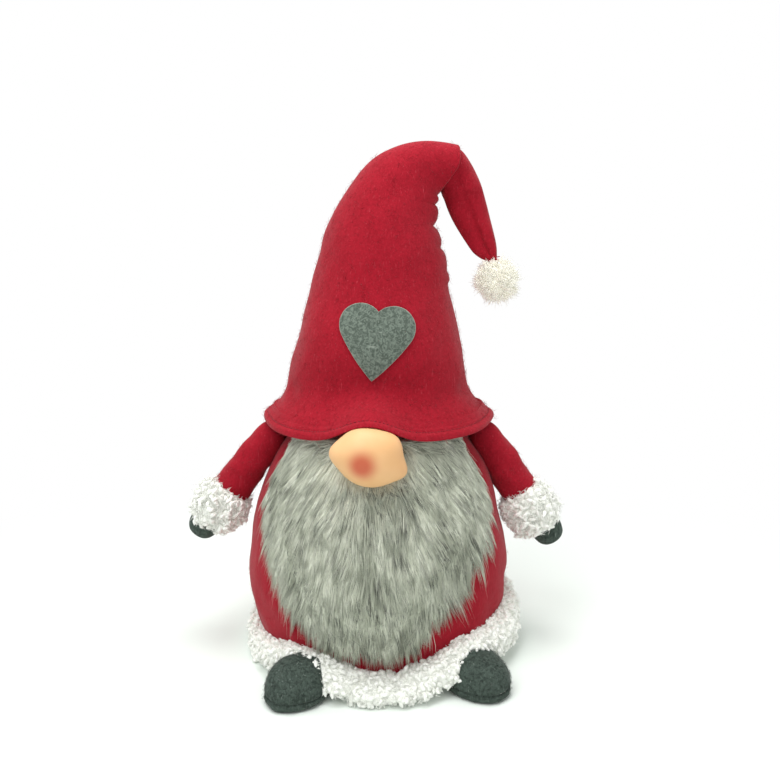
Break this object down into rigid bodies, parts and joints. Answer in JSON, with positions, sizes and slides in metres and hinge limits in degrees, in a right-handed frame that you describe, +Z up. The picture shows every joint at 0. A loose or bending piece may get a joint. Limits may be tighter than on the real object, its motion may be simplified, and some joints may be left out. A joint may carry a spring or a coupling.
{
  "type": "tomte gnome figurine",
  "caption": "Stuffed felt gnome with a tall folded hat, pompom, heart patch, long beard, round nose, sherpa hem, swinging arms and felt boots.",
  "frame": {"origin": "centre of the flat base, on the surface that the figure stands on", "axes": "+Z up, the figure faces -Y, and its own left hand is on +X"},
  "size_m": [0.3385, 0.2723, 0.4499],
  "materials": {
    "red_felt": "matte",
    "charcoal_felt": "matte",
    "grey_felt": "matte",
    "sherpa": "matte",
    "beard_hair": "matte",
    "backing_knit": "matte",
    "nose_fabric": "matte",
    "pompom_fluff": "matte",
    "red_thread": "matte",
    "stuffing": "matte",
    "ballast": "matte",
    "ballast_cloth": "matte",
    "board": "matte"
  },
  "bodies": {
    "body": {"base_cloth": "charcoal_felt", "base_board": "board", "ballast_bag": "ballast_cloth", "ballast_fill": "ballast", "body_shell": "red_felt", "body_stuffing": "stuffing", "hem_trim": "sherpa", "beard_backing": "backing_knit", "beard": "beard_hair", "nose_cover": "nose_fabric", "nose_stuffing": "stuffing", "hat_shell": "red_felt", "hat_hem_facing": "red_felt", "brim_stitching": "red_thread", "hat_stuffing": "stuffing", "hat_gather_thread": "red_thread", "heart_patch": "grey_felt", "boot_upper_left": "charcoal_felt", "boot_upper_right": "charcoal_felt", "boot_sole_left": "charcoal_felt", "boot_sole_right": "charcoal_felt", "boot_stuffing_left": "stuffing", "boot_stuffing_right": "stuffing"},
    "left_shoulder": {"shoulder_tab_left": "red_felt"},
    "left_arm": {"sleeve_left": "red_felt", "arm_stuffing_left": "stuffing", "cuff_left": "sherpa", "mitten_left": "charcoal_felt", "mitten_stuffing_left": "stuffing"},
    "right_shoulder": {"shoulder_tab_right": "red_felt"},
    "right_arm": {"sleeve_right": "red_felt", "arm_stuffing_right": "stuffing", "cuff_right": "sherpa", "mitten_right": "charcoal_felt", "mitten_stuffing_right": "stuffing"},
    "hat_end": {"hat_tip": "red_felt"},
    "bobble": {"pompom_thread": "red_thread", "pompom": "pompom_fluff", "pompom_core": "stuffing"}
  },
  "joints": [
    {"name": "left_arm_swing", "type": "hinge", "parent": "body", "child": "left_shoulder", "pos_m": [0.098, -0.005, 0.1895], "axis": [1, 0, 0], "range_deg": [-25, 25]},
    {"name": "left_arm_lift", "type": "hinge", "parent": "left_shoulder", "child": "left_arm", "pos_m": [0.098, -0.005, 0.1895], "axis": [0, -1, 0], "range_deg": [0, 45]},
    {"name": "right_arm_swing", "type": "hinge", "parent": "body", "child": "right_shoulder", "pos_m": [-0.098, -0.005, 0.1895], "axis": [1, 0, 0], "range_deg": [-25, 25]},
    {"name": "right_arm_lift", "type": "hinge", "parent": "right_shoulder", "child": "right_arm", "pos_m": [-0.098, -0.005, 0.1895], "axis": [0, 1, 0], "range_deg": [0, 45]},
    {"name": "hat_fold", "type": "hinge", "parent": "body", "child": "hat_end", "pos_m": [0.0632, 0, 0.428], "axis": [0, -1, 0], "range_deg": [0, 75]},
    {"name": "pompom_swing", "type": "hinge", "parent": "hat_end", "child": "bobble", "pos_m": [0.1065, 0, 0.3505], "axis": [0, -1, 0], "range_deg": [-20, 20]}
  ]
}
